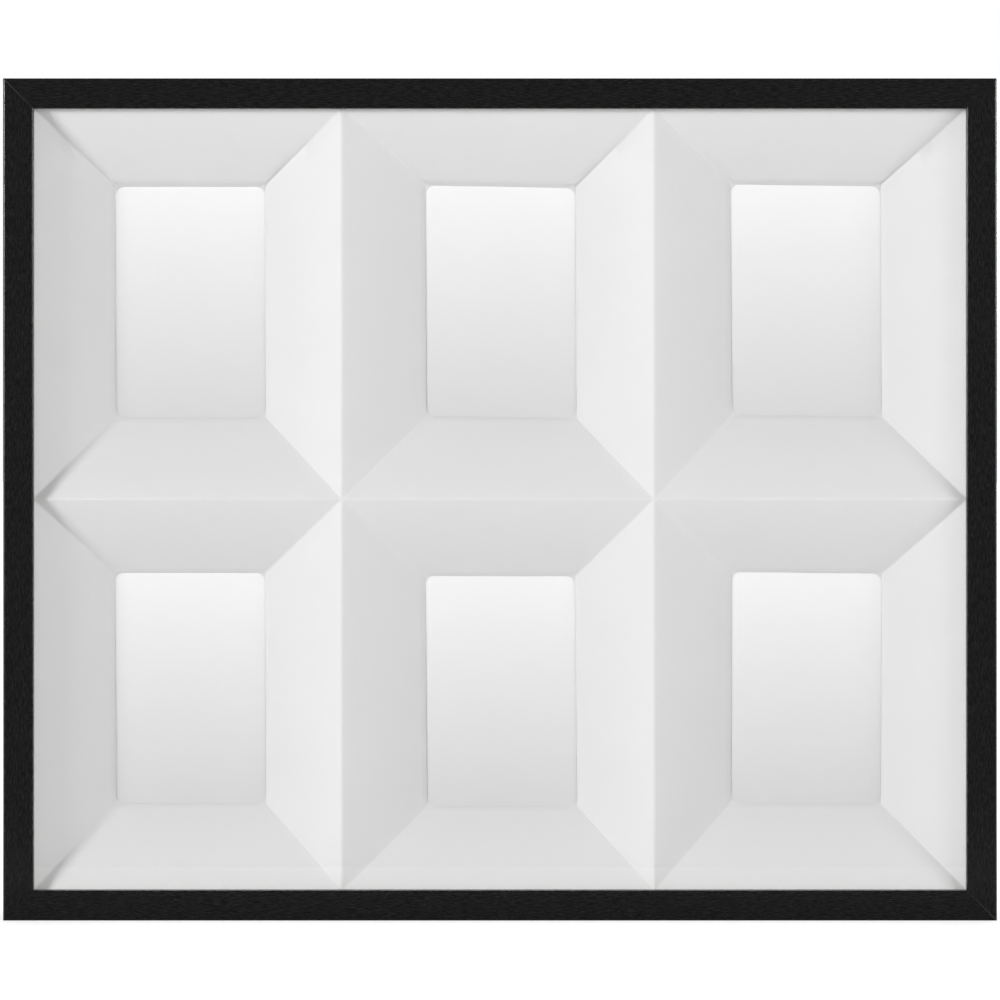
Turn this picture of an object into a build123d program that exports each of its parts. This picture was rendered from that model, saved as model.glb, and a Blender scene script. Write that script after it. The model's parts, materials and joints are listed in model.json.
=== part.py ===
from build123d import *
import os
from math import atan2, cos, hypot, radians, sin, tan

# Collage photo frame. A mitred moulding holds one pane of glass and, behind it, a vacuum-formed
# white mat whose sloping wells each show one print. A card and a back board press the prints
# against the wells, and turn buttons on the back of the moulding hold the board in.
#
# Millimetres. X runs along the width, +Y points back to the wall and +Z is up. The origin is the
# middle of the underside, halfway through the depth. Left and right are as seen from the front.

# Prints and the wells that show them
COLUMN_NAMES = ("left", "middle", "right")
ROW_NAMES = ("lower", "upper")
PRINT_WIDTH = 101.6
PRINT_HEIGHT = 152.4
PRINT_LAP = 3.2  # how far the mat covers a print's edges
WINDOW_CORNER = 5.0
WINDOW_RIM = 1.3  # flat floor left round a window
WELL_SIDE_RUN = 47.6  # how far a left or right slope runs in from its ridge
WELL_END_RUN = 47.2  # how far an upper or lower slope runs in
RIDGE_LAND = 2.0  # front of the mat between two neighbouring wells
RIDGE_FLAT = 0.5  # what the rounding of both its edges leaves flat

# Stack of sheets, from front to back
LIP_THICKNESS = 5.0
GLASS_THICKNESS = 2.0
WELL_DEPTH = 25.0
MAT_THICKNESS = 1.2
PRINT_THICKNESS = 0.3
CARD_THICKNESS = 2.0
BOARD_THICKNESS = 3.0

# Moulding
RAIL_WALL = 13.0  # wood between the outer face and the rebate
LIP_REACH = 6.0  # how far the front lip covers the glass
OUTER_EDGE_RADIUS = 1.5
SIGHT_EDGE_RADIUS = 1.0
SHEET_CLEARANCE = 1.0  # between a sheet's edge and the rebate

# Corner V-nails
V_NAILS_PER_CORNER = 2
V_NAIL_LEG = 5.5
V_NAIL_THICKNESS = 0.5
V_NAIL_DEPTH = 10.0
FASTENER_FIT = 0.05  # between a fastener and the wood round it

# Turn buttons
BUTTON_ROOT_RADIUS = 6.0
BUTTON_TIP_RADIUS = 4.0
BUTTON_GRIP = 14.0  # how far a button reaches over the back board
BUTTON_THICKNESS = 1.0
BUTTON_PLAY = 0.1  # running gap under and over a button
BUTTON_LIFT_LENGTH = 5.0  # bent-up end that a finger catches
BUTTON_LIFT_ANGLE = 18.0
PIVOT_CLEARANCE = 0.08

# Turn button screws
SCREW_RADIUS = 1.5
SCREW_GRIP = 12.0  # length in the wood
SCREW_HEAD_RADIUS = 3.2
SCREW_HEAD_HEIGHT = 1.9
RECESS_LENGTH = 3.4
RECESS_WIDTH = 0.8
RECESS_DEPTH = 1.1

# Sawtooth hangers
HANGER_LENGTH = 45.0
HANGER_HEIGHT = 9.0
HANGER_THICKNESS = 0.8
HANGER_RISE = 2.0  # room for a wall nail's head behind the teeth
HANGER_FOOT = 8.0
HANGER_RAMP = 3.0
HANGER_CORNER = 1.5
TOOTH_PITCH = 2.5
TOOTH_DEPTH = 1.5
TOOTH_LAND = 0.5

# Hanger nails
NAIL_RADIUS = 0.8
NAIL_GRIP = 10.0
NAIL_HEAD_RADIUS = 2.0
NAIL_HEAD_HEIGHT = 0.7

# Wall bumpers
BUMPER_RADIUS = 5.0
BUMPER_HEIGHT = 4.0
BUMPER_INSET = 32.0  # from the frame's side to the middle of the bumper

# Widths and heights worked out from the prints outwards
WINDOW_WIDTH = PRINT_WIDTH - 2 * PRINT_LAP
WINDOW_HEIGHT = PRINT_HEIGHT - 2 * PRINT_LAP
OPENING_WIDTH = WINDOW_WIDTH + 2 * (WINDOW_RIM + WELL_SIDE_RUN)
OPENING_HEIGHT = WINDOW_HEIGHT + 2 * (WINDOW_RIM + WELL_END_RUN)
CELL_WIDTH = OPENING_WIDTH + RIDGE_LAND
CELL_HEIGHT = OPENING_HEIGHT + RIDGE_LAND
SIGHT_WIDTH = CELL_WIDTH * len(COLUMN_NAMES)
SIGHT_HEIGHT = CELL_HEIGHT * len(ROW_NAMES)
SHEET_WIDTH = SIGHT_WIDTH + 2 * (LIP_REACH - SHEET_CLEARANCE)
SHEET_HEIGHT = SIGHT_HEIGHT + 2 * (LIP_REACH - SHEET_CLEARANCE)
RAIL_FACE = RAIL_WALL + LIP_REACH
FRAME_WIDTH = SIGHT_WIDTH + 2 * RAIL_FACE
FRAME_HEIGHT = SIGHT_HEIGHT + 2 * RAIL_FACE

# Rounding of the ridges, where the steeper slopes turn into the land between two wells
STEEPEST_SLOPE = atan2(WELL_DEPTH, min(WELL_SIDE_RUN, WELL_END_RUN))
RIDGE_RADIUS = (RIDGE_LAND - RIDGE_FLAT) / 2 / tan(STEEPEST_SLOPE / 2)

# Depths worked out from the stack. The back board ends flush with the moulding.
STACK = (GLASS_THICKNESS, WELL_DEPTH, MAT_THICKNESS, PRINT_THICKNESS, CARD_THICKNESS, BOARD_THICKNESS)
FRAME_DEPTH = LIP_THICKNESS + sum(STACK)
FRONT = -FRAME_DEPTH / 2
REAR = FRAME_DEPTH / 2
GLASS_FRONT = FRONT + LIP_THICKNESS
MAT_FRONT = GLASS_FRONT + GLASS_THICKNESS
PRINT_FRONT = MAT_FRONT + WELL_DEPTH + MAT_THICKNESS
CARD_FRONT = PRINT_FRONT + PRINT_THICKNESS
BOARD_FRONT = CARD_FRONT + CARD_THICKNESS

# Places worked out from both
COLUMN_CENTRES = [(i + 0.5) * CELL_WIDTH - SIGHT_WIDTH / 2 for i in range(len(COLUMN_NAMES))]
ROW_CENTRES = [(i + 0.5) * CELL_HEIGHT + RAIL_FACE for i in range(len(ROW_NAMES))]
LAND_MIDDLE = RAIL_WALL / 2  # middle of the moulding's rear face, from its outer edge
BUTTON_REACH = LAND_MIDDLE + SHEET_CLEARANCE + BUTTON_GRIP
SIDES = {
    "bottom_rail": (FRAME_WIDTH, Pos(0, 0, 0)),
    "top_rail": (FRAME_WIDTH, Pos(0, 0, FRAME_HEIGHT) * Rot(0, 180, 0)),
    "left_stile": (FRAME_HEIGHT, Pos(-FRAME_WIDTH / 2, 0, FRAME_HEIGHT / 2) * Rot(0, 90, 0)),
    "right_stile": (FRAME_HEIGHT, Pos(FRAME_WIDTH / 2, 0, FRAME_HEIGHT / 2) * Rot(0, -90, 0)),
}


def facing_front(y):
    """Plane across the frame at a depth, with X to the right and Z up."""
    return Plane.XZ.offset(-y)


def along_y(sketch, start, end):
    """A shape drawn on X and Z, extruded from one depth to another."""
    return extrude(facing_front(start) * sketch, amount=start - end)


def rod(radius, start, end):
    """Round bar or hole along Y from one depth to another."""
    return along_y(Circle(radius), start, end)


def sheet(front, thickness):
    """Flat sheet that fills the rebate, clear of the wood all round."""
    face = Pos(0, FRAME_HEIGHT / 2) * Rectangle(SHEET_WIDTH, SHEET_HEIGHT)
    return along_y(face, front, front + thickness)


def cells():
    """Name and middle of each cell of the grid."""
    for row, z in zip(ROW_NAMES, ROW_CENTRES):
        for column, x in zip(COLUMN_NAMES, COLUMN_CENTRES):
            yield f"{row}_{column}", x, z


def rail_section():
    """Section of the moulding: Y across the page, distance in from the outer face up it."""
    outline = Polyline(
        (FRONT, 0),
        (FRONT, RAIL_FACE),
        (GLASS_FRONT, RAIL_FACE),
        (GLASS_FRONT, RAIL_WALL),
        (REAR, RAIL_WALL),
        (REAR, 0),
        close=True,
    )
    section = make_face(outline)
    outer_corner = section.vertices().group_by(Axis.X)[0].sort_by(Axis.Y)[0]
    section = fillet(outer_corner, OUTER_EDGE_RADIUS)
    sight_corner = section.vertices().group_by(Axis.X)[0].sort_by(Axis.Y)[-1]
    return fillet(sight_corner, SIGHT_EDGE_RADIUS)


def mitred_rail(length):
    """One moulding along X with its outer face down and both ends sawn at 45 degrees."""
    stick = extrude(Plane.YZ * rail_section(), amount=length / 2, both=True)
    reach = 2 * RAIL_FACE
    saw_lines = Polyline(
        (-length / 2 - reach, -reach),
        (length / 2 + reach, -reach),
        (length / 2 - reach, reach),
        (-length / 2 + reach, reach),
        close=True,
    )
    return stick & along_y(make_face(saw_lines), -FRAME_DEPTH, FRAME_DEPTH)


def v_nail(side, end, inset, fit):
    """One V-nail across a mitre, its bend an inset from both outer faces, grown by a fit."""
    middle = FRAME_HEIGHT / 2
    leg = inset + V_NAIL_LEG + fit
    bend = Polyline(
        (side * (FRAME_WIDTH / 2 - leg), middle + end * (middle - inset)),
        (side * (FRAME_WIDTH / 2 - inset), middle + end * (middle - inset)),
        (side * (FRAME_WIDTH / 2 - inset), middle + end * (middle - leg)),
    )
    wings = trace(bend, V_NAIL_THICKNESS + 2 * fit)
    return along_y(wings, REAR - V_NAIL_DEPTH - fit, REAR)


def v_nails(fit=0.0):
    """V-nails across the four mitres, driven in flush with the back."""
    insets = [RAIL_WALL * (i + 1) / (V_NAILS_PER_CORNER + 1) for i in range(V_NAILS_PER_CORNER)]
    corners = [(side, end) for side in (-1, 1) for end in (-1, 1)]
    return [v_nail(side, end, inset, fit) for side, end in corners for inset in insets]


def trough(opening, run, start, end, wall):
    """Section across a well between two depths behind the mat's front, outside it by a wall."""
    step = wall * hypot(run, WELL_DEPTH) / WELL_DEPTH
    near = opening / 2 + step - run * start / WELL_DEPTH
    far = opening / 2 + step - run * end / WELL_DEPTH
    return make_face(
        Polyline(
            (-near, MAT_FRONT + start),
            (near, MAT_FRONT + start),
            (far, MAT_FRONT + end),
            (-far, MAT_FRONT + end),
            close=True,
        )
    )


def well(start, end, wall):
    """One tapered well, where an upright trough crosses a level one."""
    upright = trough(OPENING_WIDTH, WELL_SIDE_RUN, start, end, wall)
    level = trough(OPENING_HEIGHT, WELL_END_RUN, start, end, wall)
    level_plane = Plane((0, 0, 0), x_dir=(0, 0, 1), z_dir=(-1, 0, 0))
    crossing = extrude(level_plane * level, amount=OPENING_WIDTH, both=True)
    return crossing & extrude(upright, amount=OPENING_HEIGHT, both=True)


def formed_mat():
    """Vacuum-formed sheet: a flat front, sloping wells of one wall and a window in each floor."""
    floor_back = WELL_DEPTH + MAT_THICKNESS
    places = [Pos(x, 0, z) for _, x, z in cells()]
    shell = well(MAT_THICKNESS, floor_back, MAT_THICKNESS)
    hollow = well(0, WELL_DEPTH, 0)
    window = along_y(
        RectangleRounded(WINDOW_WIDTH, WINDOW_HEIGHT, WINDOW_CORNER),
        MAT_FRONT + WELL_DEPTH / 2,
        PRINT_FRONT + MAT_THICKNESS,
    )
    mat = sheet(MAT_FRONT, MAT_THICKNESS)
    mat += [place * shell for place in places]
    mat -= [place * hollow for place in places]
    mat -= [place * window for place in places]
    rims = mat.faces().sort_by(Axis.Y)[0].inner_wires()
    return mat.fillet(RIDGE_RADIUS, [edge for rim in rims for edge in rim.edges()])


def photo_print(x, z):
    """One print against the back of its well."""
    return along_y(Pos(x, z) * Rectangle(PRINT_WIDTH, PRINT_HEIGHT), PRINT_FRONT, CARD_FRONT)


def button_places():
    """Name and pivot of each turn button, behind the outer ridges and the rows of wells.

    A button's own +Z points in over the back board.
    """
    places = {}
    ridge = SIGHT_WIDTH / 2 - CELL_WIDTH
    for end, x in (("left", -ridge), ("right", ridge)):
        places[f"bottom_{end}"] = Pos(x, REAR, LAND_MIDDLE)
        places[f"top_{end}"] = Pos(x, REAR, FRAME_HEIGHT - LAND_MIDDLE) * Rot(0, 180, 0)
    for row, z in zip(ROW_NAMES, ROW_CENTRES):
        places[f"left_{row}"] = Pos(LAND_MIDDLE - FRAME_WIDTH / 2, REAR, z) * Rot(0, 90, 0)
        places[f"right_{row}"] = Pos(FRAME_WIDTH / 2 - LAND_MIDDLE, REAR, z) * Rot(0, -90, 0)
    return places


def turn_button():
    """Stamped steel button pointing up from its pivot, with its end bent back for a finger."""
    root = Circle(BUTTON_ROOT_RADIUS)
    tip = Pos(0, BUTTON_REACH - BUTTON_TIP_RADIUS) * Circle(BUTTON_TIP_RADIUS)
    outline = make_hull([*root.edges(), *tip.edges()])
    angle = radians(BUTTON_LIFT_ANGLE)
    bend = BUTTON_REACH - BUTTON_LIFT_LENGTH
    past = 2 * BUTTON_REACH
    underside = BUTTON_PLAY
    upside = BUTTON_PLAY + BUTTON_THICKNESS
    lifted = (underside + past * sin(angle), bend + past * cos(angle))
    strip = Polyline(
        (underside, -past),
        (underside, bend),
        lifted,
        (lifted[0] + BUTTON_THICKNESS * cos(angle), lifted[1] - BUTTON_THICKNESS * sin(angle)),
        (upside, bend - BUTTON_THICKNESS * tan(angle / 2)),
        (upside, -past),
        close=True,
    )
    bent_steel = extrude(Plane.YZ * make_face(strip), amount=past, both=True)
    button = bent_steel & along_y(outline, -past, past)
    return button - rod(SCREW_RADIUS + PIVOT_CLEARANCE, -past, past)


def headed_pin(radius, grip, stem, head_radius, head_height):
    """Pin along Y: it ends a grip below y = 0 and its head starts at y = stem."""
    shank = rod(radius, -grip, stem)
    return shank + rod(head_radius, stem, stem + head_height)


def turn_button_screw():
    """Pan-head screw with a cross recess."""
    stem = BUTTON_THICKNESS + 2 * BUTTON_PLAY
    screw = headed_pin(SCREW_RADIUS, SCREW_GRIP, stem, SCREW_HEAD_RADIUS, SCREW_HEAD_HEIGHT)
    cross = Rectangle(RECESS_LENGTH, RECESS_WIDTH) + Rectangle(RECESS_WIDTH, RECESS_LENGTH)
    top = stem + SCREW_HEAD_HEIGHT
    return screw - along_y(cross, top - RECESS_DEPTH, top + RECESS_DEPTH)


def hanger_places():
    """Middle of each hanger on the top rail, behind the outer columns."""
    z = FRAME_HEIGHT - LAND_MIDDLE
    return {"left": Pos(COLUMN_CENTRES[0], REAR, z), "right": Pos(COLUMN_CENTRES[-1], REAR, z)}


def sawtooth_hanger():
    """Bent steel strip whose raised middle has teeth along its lower edge."""
    half = HANGER_LENGTH / 2
    foot = half - HANGER_FOOT
    crown = foot - HANGER_RAMP
    low = HANGER_THICKNESS / 2
    high = low + HANGER_RISE
    bend = Polyline((-half, low), (-foot, low), (-crown, high), (crown, high), (foot, low), (half, low))
    strip = extrude(trace(bend, HANGER_THICKNESS), amount=HANGER_HEIGHT / 2, both=True)
    upright = strip.edges().filter_by(Axis.Y).group_by(Axis.X)
    strip = fillet([*upright[0], *upright[-1]], HANGER_CORNER)
    bottom = -HANGER_HEIGHT / 2
    gap = (TOOTH_PITCH - TOOTH_LAND) / 2
    notch = make_face(
        Polyline((-gap, bottom), (gap, bottom), (0, bottom + TOOTH_DEPTH), close=True)
    )
    reach = int((crown - TOOTH_PITCH / 2) // TOOTH_PITCH)
    back = HANGER_RISE + 2 * HANGER_THICKNESS
    for number in range(-reach, reach + 1):
        strip -= along_y(Pos(number * TOOTH_PITCH, 0) * notch, 0, back)
    for x in nail_offsets():
        strip -= Pos(x, 0, 0) * rod(NAIL_RADIUS + FASTENER_FIT, -HANGER_THICKNESS, back)
    return strip


def nail_offsets():
    """Where the two nails of a hanger lie, from its middle."""
    offset = (HANGER_LENGTH - HANGER_FOOT) / 2
    return (-offset, offset)


def nail_places():
    """Every hanger nail's place on the top rail."""
    return [place * Pos(x, 0, 0) for place in hanger_places().values() for x in nail_offsets()]


def hanger_nail():
    """Small flat-headed nail through a hanger's foot."""
    return headed_pin(NAIL_RADIUS, NAIL_GRIP, HANGER_THICKNESS, NAIL_HEAD_RADIUS, NAIL_HEAD_HEIGHT)


def bumper_places():
    """Middle of each wall bumper on the bottom rail."""
    inset = FRAME_WIDTH / 2 - BUMPER_INSET
    return {"left": Pos(-inset, REAR, LAND_MIDDLE), "right": Pos(inset, REAR, LAND_MIDDLE)}


def wall_bumper():
    """Soft round pad, punched from a sheet, that stands behind all the metal and meets the wall."""
    return rod(BUMPER_RADIUS, 0, BUMPER_HEIGHT)


def fastener_holes():
    """Pockets and pilot holes in the back of the moulding."""
    screw_hole = rod(SCREW_RADIUS + FASTENER_FIT, -SCREW_GRIP - FASTENER_FIT, 0)
    nail_hole = rod(NAIL_RADIUS + FASTENER_FIT, -NAIL_GRIP - FASTENER_FIT, 0)
    holes = v_nails(FASTENER_FIT)
    holes += [place * screw_hole for place in button_places().values()]
    holes += [place * nail_hole for place in nail_places()]
    return holes


def pieces():
    """Every piece by its node's name."""
    holes = fastener_holes()
    found = {name: place * mitred_rail(length) - holes for name, (length, place) in SIDES.items()}
    found["corner_v_nails"] = Compound(v_nails())
    found["front_glazing"] = sheet(GLASS_FRONT, GLASS_THICKNESS)
    found["formed_mat"] = formed_mat()
    for name, x, z in cells():
        found[f"photo_print_{name}"] = photo_print(x, z)
    found["filler_card"] = sheet(CARD_FRONT, CARD_THICKNESS)
    found["back_board"] = sheet(BOARD_FRONT, BOARD_THICKNESS)
    pivots = button_places()
    for name, place in pivots.items():
        found[f"turn_button_{name}"] = place * turn_button()
    found["turn_button_screws"] = Compound([place * turn_button_screw() for place in pivots.values()])
    for name, place in hanger_places().items():
        found[f"sawtooth_hanger_{name}"] = place * sawtooth_hanger()
    found["hanger_nails"] = Compound([place * hanger_nail() for place in nail_places()])
    for name, place in bumper_places().items():
        found[f"wall_bumper_{name}"] = place * wall_bumper()
    return found


os.makedirs("parts", exist_ok=True)
for node, shape in pieces().items():
    export_step(shape, f"parts/{node}.step")
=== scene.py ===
import json
from math import cos, pi, radians, sin, tan

import bmesh
import bpy
from bpy.props import FloatProperty, FloatVectorProperty, PointerProperty
from bpy.types import Node, NodeSocket, Operator, Panel, PropertyGroup
from mathutils import Matrix, Vector, noise

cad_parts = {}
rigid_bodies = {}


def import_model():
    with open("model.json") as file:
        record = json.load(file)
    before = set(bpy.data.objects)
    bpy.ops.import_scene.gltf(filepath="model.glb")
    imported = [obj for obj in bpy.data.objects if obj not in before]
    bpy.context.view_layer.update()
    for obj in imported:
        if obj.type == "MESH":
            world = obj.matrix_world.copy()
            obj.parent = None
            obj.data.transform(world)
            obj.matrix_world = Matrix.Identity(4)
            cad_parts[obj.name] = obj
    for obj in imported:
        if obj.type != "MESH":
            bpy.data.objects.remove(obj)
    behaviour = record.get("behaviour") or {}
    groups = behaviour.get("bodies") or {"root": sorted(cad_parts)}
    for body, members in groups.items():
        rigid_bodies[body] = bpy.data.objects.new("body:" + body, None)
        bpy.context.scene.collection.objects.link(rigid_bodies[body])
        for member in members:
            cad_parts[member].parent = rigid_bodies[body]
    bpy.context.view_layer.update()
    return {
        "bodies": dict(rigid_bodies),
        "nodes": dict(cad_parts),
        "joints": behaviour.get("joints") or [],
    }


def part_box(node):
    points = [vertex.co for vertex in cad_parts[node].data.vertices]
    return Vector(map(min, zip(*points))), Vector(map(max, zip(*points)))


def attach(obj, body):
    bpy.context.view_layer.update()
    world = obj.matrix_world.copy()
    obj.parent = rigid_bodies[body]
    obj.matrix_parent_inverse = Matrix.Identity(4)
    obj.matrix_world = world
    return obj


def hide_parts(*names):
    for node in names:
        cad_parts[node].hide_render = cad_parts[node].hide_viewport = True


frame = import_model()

bl_info = {
    "name": "Collage photo frame",
    "version": (1, 0, 0),
    "blender": (4, 5, 0),
    "location": "View3D > Sidebar > Collage frame",
    "description": "Foiled moulding, glass, formed mat, inserts and fittings of a collage photo frame",
    "category": "Object",
}

# Metres. X runs along the width, +Y points back to the wall and +Z is up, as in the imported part.
MM = 0.001
HARD_EDGE = radians(35)  # edges that turn by more than this stay hard

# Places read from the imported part
OUTER_LOW, OUTER_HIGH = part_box("bottom_rail")[0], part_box("top_rail")[1]
FRONT = OUTER_LOW.y
HALF_WIDTH = OUTER_HIGH.x
MID_HEIGHT = (OUTER_LOW.z + OUTER_HIGH.z) / 2
HALF_HEIGHT = OUTER_HIGH.z - MID_HEIGHT
SIGHT_HALF_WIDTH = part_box("right_stile")[0].x
SIGHT_HALF_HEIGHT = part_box("top_rail")[0].z - MID_HEIGHT
RAIL_FACE = HALF_WIDTH - SIGHT_HALF_WIDTH
MAT_LOW, MAT_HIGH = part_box("formed_mat")

RAILS = ("top_rail", "bottom_rail")
STILES = ("left_stile", "right_stile")
PRINTS = sorted(name for name in frame["nodes"] if name.startswith("photo_print_"))
BUTTONS = sorted(name for name in frame["bodies"] if name.startswith("turn_button_"))
HANGERS = ("sawtooth_hanger_left", "sawtooth_hanger_right")
BUMPERS = ("wall_bumper_left", "wall_bumper_right")
PIVOTS = [Vector(joint["pos_m"]) for joint in frame["joints"]]

# The sheet of the mat is formed and trimmed by hand, so its upright ridges and its windows lie a
# little off an even grid. Each window: millimetres across and up, degrees by which its level edges
# fall to the right, and degrees by which its upright edges lean to the left.
RIDGE_DRIFT = (-1.9 * MM, -0.6 * MM)
TRIM = {
    "upper_left": (-1.2, 1.65, 0.05, 0.2),
    "upper_middle": (0.6, 1.7, 1.0, 0.3),
    "upper_right": (-1.1, 2.6, 0.7, 0.4),
    "lower_left": (-1.1, 2.1, 0.1, 0.3),
    "lower_middle": (0.7, 0.05, 0.1, 0.5),
    "lower_right": (-0.95, 2.1, 0.6, -0.2),
}


def linear(hex_colour):
    """Linear RGBA of an sRGB hex colour."""
    shares = [int(hex_colour[i : i + 2], 16) / 255 for i in (1, 3, 5)]
    return [s / 12.92 if s <= 0.04045 else ((s + 0.055) / 1.055) ** 2.4 for s in shares] + [1.0]


WHITE = linear("#ffffff")


def colour(name, description, hex_colour):
    """A colour that a user may change."""
    return FloatVectorProperty(
        name=name,
        description=description,
        subtype="COLOR",
        size=4,
        min=0,
        max=1,
        default=linear(hex_colour),
    )


def length(name, description, millimetres):
    """A length that a user may change."""
    return FloatProperty(
        name=name, description=description, subtype="DISTANCE", unit="LENGTH", default=millimetres * MM
    )


def power(name, description, watts):
    """A lamp's power that a user may change."""
    return FloatProperty(
        name=name, description=description, subtype="POWER", unit="POWER", default=watts
    )


def share(name, description, value):
    """A share that a user may change."""
    return FloatProperty(name=name, description=description, subtype="FACTOR", min=0, default=value)


class MouldingSettings(PropertyGroup):
    """The foiled moulding"""

    foil: colour("Foil", "Ground colour of the printed foil", "#060606")
    streak: colour("Grain streak", "Paler fibres of the printed grain", "#1a1a1a")
    core: colour("Core", "Bare wood at the back, where the foil doesn't reach", "#b9966a")
    core_grain: colour("Core grain", "Darker grain in the bare wood", "#94714a")
    # The mitre colour below is a painted highlight: a pale line along two mitres, where their seams
    # catch the light.
    seam: colour("Mitre seam", "Painted highlight, a fine line along two mitres", "#5e5e5e")
    streak_length: length("Streak length", "Length of a grain streak", 5.0)
    streak_width: length("Streak width", "Width of a grain streak", 0.6)
    ring_length: length("Ring length", "Length of a growth ring's streak in the bare wood", 70.0)
    ring_width: length("Ring width", "Width of a growth ring's streak in the bare wood", 2.0)
    seam_width: length("Seam width", "Width of the line that a mitre shows", 0.3)
    wrap: length("Wrap", "How far the foil is folded over onto the back", 3.0)


class MatSettings(PropertyGroup):
    """The vacuum-formed mat"""

    # The second colour below is painted shade: the sheet is painted greyer from the ridges down to the
    # windows, for the shade deep in the wells.
    sheet: colour("Sheet", "Colour of the sheet at the ridges, before the painted shade of the wells", "#ebebeb")
    deep_shade: colour("Painted deep shade", "Colour of the sheet at the windows, painted darker as shade deep in the wells", "#dedede")
    thickness: length("Thickness", "Thickness of the formed sheet", 1.2)
    window_width: length("Window width", "Width of a window", 95.2)
    window_height: length("Window height", "Height of a window", 146.1)
    window_corner: length("Window corner", "Corner radius of a window", 5.8)
    land: length("Ridge land", "Front of the sheet between two neighbouring wells", 1.2)
    ridge: length("Ridge rounding", "Half the width over which a ridge's edge turns", 0.4)
    crease: length("Crease radius", "Rounding where two slopes of a well meet", 1.1)
    lip: length("Window lip", "Width and depth of the rounded lip round a window", 0.3)
    fold: length("Upper fold", "Width of the steep fold above each window of the upper row", 1.6)
    fold_depth: length("Fold depth", "How far the upper fold bends back", 1.8)
    edge: length("Edge thickness", "Thickness that is left at the edge of a window", 0.35)
    tuck: length("Tuck", "How far the outer wells run on under the moulding", 1.0)
    wave: length("Forming wave", "Height of the soft waves that forming leaves in the slopes", 0.12)
    waver: length("Trimming waver", "How far the trimmed edge of a window wavers", 0.2)


class InsertSettings(PropertyGroup):
    """The blank papers in the windows"""

    top: colour("Upper end", "Colour at an insert's upper end", "#f8f8f8")
    bottom: colour("Lower end", "Colour at an insert's lower end", "#d9d9d9")


class BackSettings(PropertyGroup):
    """The filler card and the back board"""

    board: colour("Board", "Ground colour of the back board", "#8d6544")
    board_fibre: colour("Board fibres", "Darker fibres pressed into the board", "#664630")
    card: colour("Card", "Ground colour of the filler card", "#a9a297")
    card_fibre: colour("Card fibres", "Darker flecks of the pulp in the card", "#8a8378")


class FittingSettings(PropertyGroup):
    """Metal and rubber on the back"""

    zinc: colour("Zinc", "Colour of the zinc plating", "#a9acae")
    spring_steel: colour("Spring steel", "Colour of the V-nails' bare steel", "#8c8f94")
    rubber: colour("Rubber", "Colour of the wall bumpers", "#2b2a29")
    screw_head: length("Screw head", "Radius of a turn button screw's head", 3.2)
    screw_shank: length("Screw shank", "Radius of a turn button screw's shank", 1.5)
    recess: length("Cross recess", "Length of a screw's cross recess", 3.6)
    recess_width: length("Recess width", "Width of the cross recess's slots", 0.8)
    nail_head: length("Nail head", "Radius of a hanger nail's head", 2.0)
    nail_shank: length("Nail shank", "Radius of a hanger nail's shank", 0.8)


class StageSettings(PropertyGroup):
    """Camera, lamps, floor and room"""

    distance: length("Camera distance", "From the camera to the front of the moulding", 2000)
    view_width: length("View width", "Width of the picture at the front of the moulding", 626.4)
    rise: length("Camera rise", "How far the camera lies above the middle of the picture", 80.0)
    drop: length("Picture drop", "How far the picture's middle lies below the frame's middle", 0.3)
    lamp_distance: length("Lamp distance", "From the lamps to the middle of the frame", 9000)
    key: power("Key lamp", "Power of the softbox on the left", 541.0)
    right: power("Right lamp", "Power of the broad softbox on the right", 360.0)
    back: power("Back lamp", "Power of the softbox behind, for the back of the frame", 320.0)
    room: share("Room", "Brightness of the room in front of the frame, where white is 1", 0.17)
    floor: colour("Floor", "Colour of the floor", "#f2f2f2")
    mirrored_from: length("Mirrored from", "Where the strip of floor that the glass mirrors begins", 120)
    mirrored_to: length("Mirrored to", "Where the strip of floor that the glass mirrors ends", 207)
    lift: share("Floor lift", "How much brighter than its colour the floor looks near the frame", 0.6)


class CollageFrameSettings(PropertyGroup):
    """All settings of the collage frame"""

    moulding: PointerProperty(type=MouldingSettings, name="Moulding", description="Foiled moulding")
    mat: PointerProperty(type=MatSettings, name="Mat", description="Vacuum-formed mat")
    insert: PointerProperty(type=InsertSettings, name="Inserts", description="Papers in the windows")
    back: PointerProperty(type=BackSettings, name="Back", description="Filler card and back board")
    fitting: PointerProperty(type=FittingSettings, name="Fittings", description="Metal and rubber")
    stage: PointerProperty(type=StageSettings, name="Stage", description="Camera, lamps and floor")


def add_node(tree, kind, inputs=(), **settings):
    """One shader node, with each input a value, a socket, or a node that gives its first output."""
    node = tree.nodes.new("ShaderNode" + kind)
    for name, value in settings.items():
        setattr(node, name, value)
    for key, value in dict(inputs).items():
        named = [socket for socket in node.inputs if socket.enabled and socket.name == key]
        socket = named[0] if named else node.inputs[key]
        if isinstance(value, Node):
            value = next(output for output in value.outputs if output.enabled)
        if isinstance(value, NodeSocket):
            tree.links.new(value, socket)
        else:
            socket.default_value = value
    return node


def blank_material(name):
    """A material with no nodes yet, and its node tree."""
    material = bpy.data.materials.new(name)
    material.use_nodes = True
    material.node_tree.nodes.clear()
    return material, material.node_tree


def dress(material, *pieces):
    """Gives pieces a material in place of what they had."""
    for piece in pieces:
        piece.data.materials.clear()
        piece.data.materials.append(material)


def packed(names):
    """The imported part's objects of these names."""
    return [frame["nodes"][name] for name in names]


def smooth(mesh):
    """Shades a mesh smooth but for its hard edges."""
    mesh.shade_smooth()
    mesh.set_sharp_from_angle(angle=HARD_EDGE)


def link_mesh(bm, name):
    """Turns a mesh in the making into an object of the scene."""
    mesh = bpy.data.meshes.new(name)
    bm.to_mesh(mesh)
    bm.free()
    smooth(mesh)
    thing = bpy.data.objects.new(name, mesh)
    bpy.context.scene.collection.objects.link(thing)
    return thing


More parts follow.
